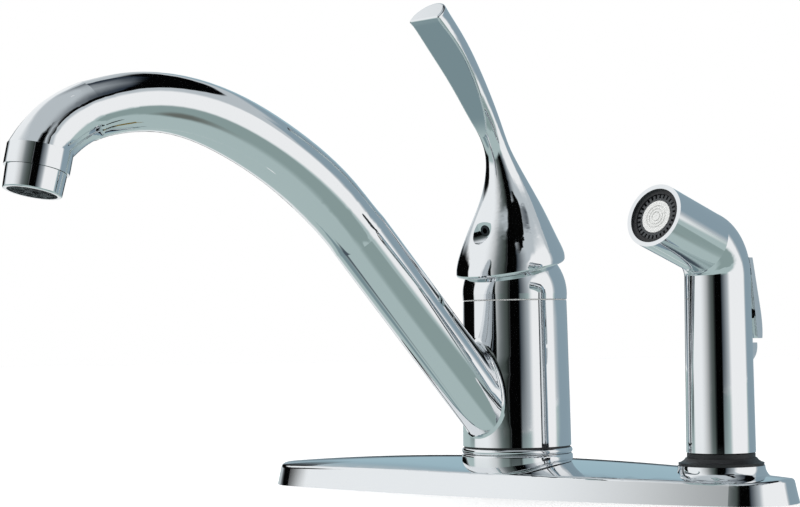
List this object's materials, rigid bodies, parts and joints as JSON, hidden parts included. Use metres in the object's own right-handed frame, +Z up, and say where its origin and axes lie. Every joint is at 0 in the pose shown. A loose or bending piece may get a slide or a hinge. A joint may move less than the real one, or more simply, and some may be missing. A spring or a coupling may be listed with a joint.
{
  "type": "side spray kitchen faucet",
  "caption": "Single-handle kitchen faucet in polished chrome with a high arched swivel spout, a lift-and-turn lever and a side spray on one deck plate.",
  "frame": {"origin": "on the deck, on the axis of the centre shank, which the spout and the handle turn about", "axes": "+Z up from the deck, +X along the plate from the body to the spray, -Y to the front of the sink"},
  "size_m": [0.268, 0.2793, 0.2779],
  "materials": {
    "polished_chrome": "bright polished chrome plate",
    "brass": "bare machined brass",
    "steel": "plain stainless steel",
    "rubber": "soft black rubber",
    "black_plastic": "matte black plastic",
    "grey_plastic": "dark grey plastic",
    "white_plastic": "white plastic",
    "ceramic": "ground ceramic"
  },
  "bodies": {
    "base": {"deck_plate": "polished_chrome", "plate_gasket": "rubber", "valve_body": "brass", "hot_inlet": "brass", "cold_inlet": "brass", "spray_outlet": "brass", "spout_o_rings": "rubber", "base_ring": "polished_chrome", "glide_ring": "white_plastic", "slip_ring": "white_plastic", "diverter_sleeve": "white_plastic", "shank_washer": "steel", "shank_nut": "brass", "side_stud": "steel", "side_washer": "steel", "side_wing_nut": "steel", "spray_holder": "black_plastic", "holder_washer": "black_plastic", "holder_nut": "black_plastic", "cartridge_base": "white_plastic", "port_seals": "rubber", "fixed_disc": "ceramic", "cartridge_housing": "white_plastic", "cartridge_nut": "brass", "bonnet": "polished_chrome"},
    "diverter": {"diverter_poppet": "white_plastic"},
    "spout": {"spout": "polished_chrome", "aerator_housing": "polished_chrome", "aerator_screen": "grey_plastic", "flow_former": "grey_plastic", "aerator_washer": "rubber"},
    "rotor": {"cartridge_rotor": "white_plastic", "stem_pin": "steel"},
    "handle": {"handle": "polished_chrome", "set_screw": "steel", "cartridge_stem": "steel"},
    "disc": {"moving_disc": "ceramic", "disc_carrier": "white_plastic"},
    "hose_end": {"hose_ferrule": "brass", "ferrule_clip": "steel"},
    "handset": {"spray_shell": "polished_chrome", "lever_pin": "steel", "spray_core": "black_plastic", "valve_spring": "steel", "head_tube": "black_plastic", "nozzle_ring": "black_plastic", "nozzle_rubber": "grey_plastic", "face_disc": "white_plastic", "hose_coupling": "black_plastic", "coupling_washer": "rubber"},
    "plunger": {"valve_plunger": "black_plastic", "plunger_seal": "rubber"},
    "trigger": {"spray_lever": "polished_chrome"}
  },
  "joints": [
    {"name": "spout_swing", "type": "hinge", "parent": "base", "child": "spout", "pos_m": [0, 0, 0.05], "axis": [0, 0, 1], "range_deg": [-33.4, 56.6]},
    {"name": "handle_turn", "type": "hinge", "parent": "base", "child": "rotor", "pos_m": [0, 0, 0.087], "axis": [0, 0, 1], "range_deg": [-43, 57]},
    {"name": "handle_lift", "type": "hinge", "parent": "rotor", "child": "handle", "pos_m": [0, 0, 0.087], "axis": [-0.9925, 0.1219, 0], "range_deg": [0, 22.5]},
    {"name": "disc_slide", "type": "slide", "parent": "rotor", "child": "disc", "axis": [-0.1219, -0.9925, 0], "range_m": [0, 0.004]},
    {"name": "diverter_slide", "type": "slide", "parent": "base", "child": "diverter", "axis": [0, 0, 1], "range_m": [0, 0.002]},
    {"name": "spray_lift", "type": "slide", "parent": "base", "child": "hose_end", "axis": [0, 0, 1], "range_m": [0, 0.12]},
    {"name": "spray_turn", "type": "hinge", "parent": "hose_end", "child": "handset", "pos_m": [0.1016, 0, 0], "axis": [0, 0, 1], "continuous": true},
    {"name": "trigger_press", "type": "hinge", "parent": "handset", "child": "trigger", "pos_m": [0.10271, 0.00843, 0.096], "axis": [-0.9914, 0.1305, 0], "range_deg": [0, 6.5], "stiffness_Nm_per_rad": 1.2, "springref_deg": -4.01},
    {"name": "plunger_slide", "type": "slide", "parent": "handset", "child": "plunger", "axis": [-0.1305, -0.9914, 0], "range_m": [0, 0.0023]}
  ],
  "couplings": [
    {"joint": "disc_slide", "follows": "handle_lift", "m_per_rad": 0.00993},
    {"joint": "plunger_slide", "follows": "trigger_press", "m_per_rad": 0.02}
  ]
}
